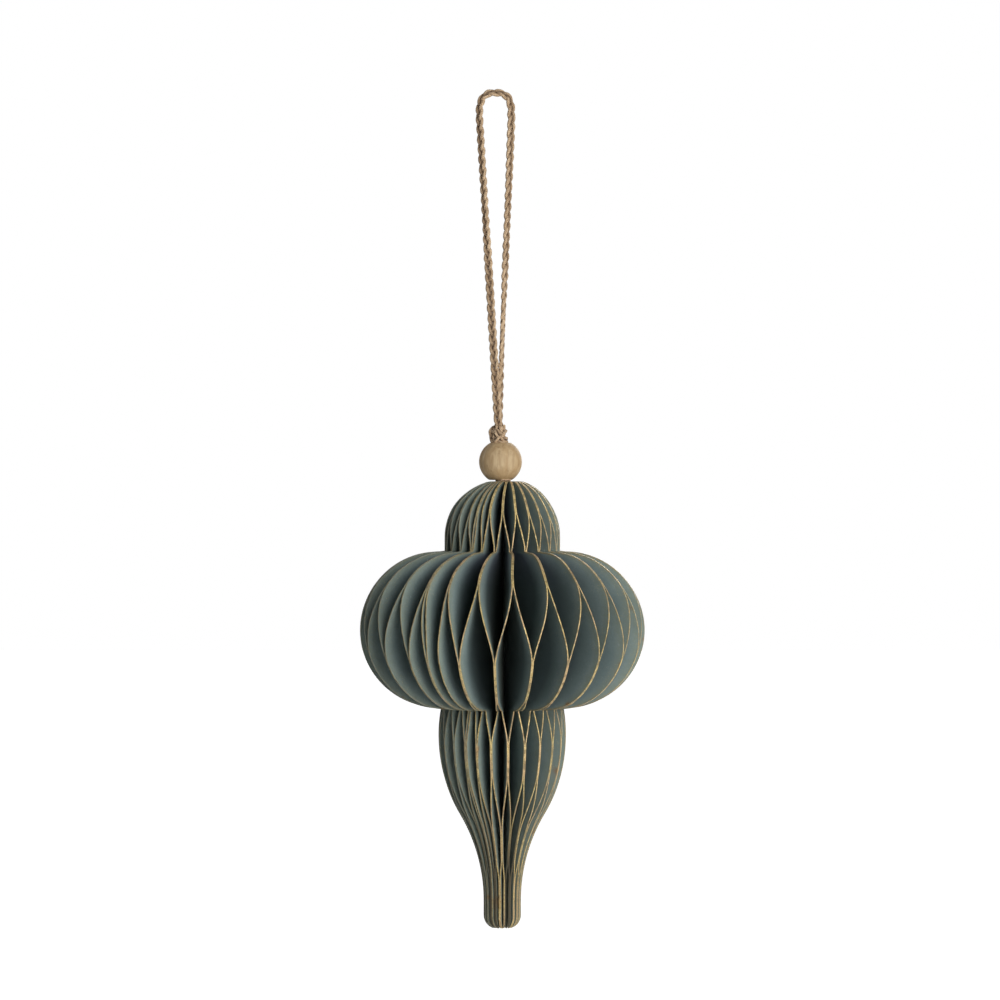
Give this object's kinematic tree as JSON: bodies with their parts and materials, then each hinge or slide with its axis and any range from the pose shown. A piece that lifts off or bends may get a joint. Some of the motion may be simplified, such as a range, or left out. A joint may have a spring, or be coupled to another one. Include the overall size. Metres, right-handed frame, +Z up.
{
  "type": "paper honeycomb ornament",
  "caption": "Hanging ornament of dark teal paper leaves glued into a honeycomb: a dome, a round bulb and a tapered drop, under a wooden bead, a knot and a braided cord loop.",
  "frame": {"origin": "inside of the top of the cord loop, the point that a hook touches", "axes": "+Z up along the cord and the spine, -Y towards the viewer of the picture, +X to the right"},
  "size_m": [0.0796, 0.0796, 0.2341],
  "materials": {
    "leaf_paper": "matte handmade paper, deep slate teal, with cut edges in dull gold",
    "bead_wood": "pale wood, unvarnished",
    "jute_cord": "braided jute"
  },
  "bodies": {
    "root": {"leaf_01": "leaf_paper", "leaf_02": "leaf_paper", "leaf_03": "leaf_paper", "leaf_04": "leaf_paper", "leaf_05": "leaf_paper", "leaf_06": "leaf_paper", "leaf_07": "leaf_paper", "leaf_08": "leaf_paper", "leaf_09": "leaf_paper", "leaf_10": "leaf_paper", "leaf_11": "leaf_paper", "leaf_12": "leaf_paper", "leaf_13": "leaf_paper", "leaf_14": "leaf_paper", "leaf_15": "leaf_paper", "leaf_16": "leaf_paper", "leaf_17": "leaf_paper", "leaf_18": "leaf_paper", "leaf_19": "leaf_paper", "leaf_20": "leaf_paper", "leaf_21": "leaf_paper", "leaf_22": "leaf_paper", "leaf_23": "leaf_paper", "leaf_24": "leaf_paper", "leaf_25": "leaf_paper", "leaf_26": "leaf_paper", "leaf_27": "leaf_paper", "leaf_28": "leaf_paper", "leaf_29": "leaf_paper", "leaf_30": "leaf_paper", "leaf_31": "leaf_paper", "leaf_32": "leaf_paper", "leaf_33": "leaf_paper", "leaf_34": "leaf_paper", "leaf_35": "leaf_paper", "leaf_36": "leaf_paper", "leaf_37": "leaf_paper", "leaf_38": "leaf_paper", "leaf_39": "leaf_paper", "leaf_40": "leaf_paper", "leaf_41": "leaf_paper", "leaf_42": "leaf_paper", "leaf_43": "leaf_paper", "leaf_44": "leaf_paper", "leaf_45": "leaf_paper", "leaf_46": "leaf_paper", "leaf_47": "leaf_paper", "leaf_48": "leaf_paper", "leaf_49": "leaf_paper", "wooden_bead": "bead_wood", "cord_knot": "jute_cord", "cord_tail": "jute_cord", "hanging_cord": "jute_cord"}
  },
  "joints": []
}
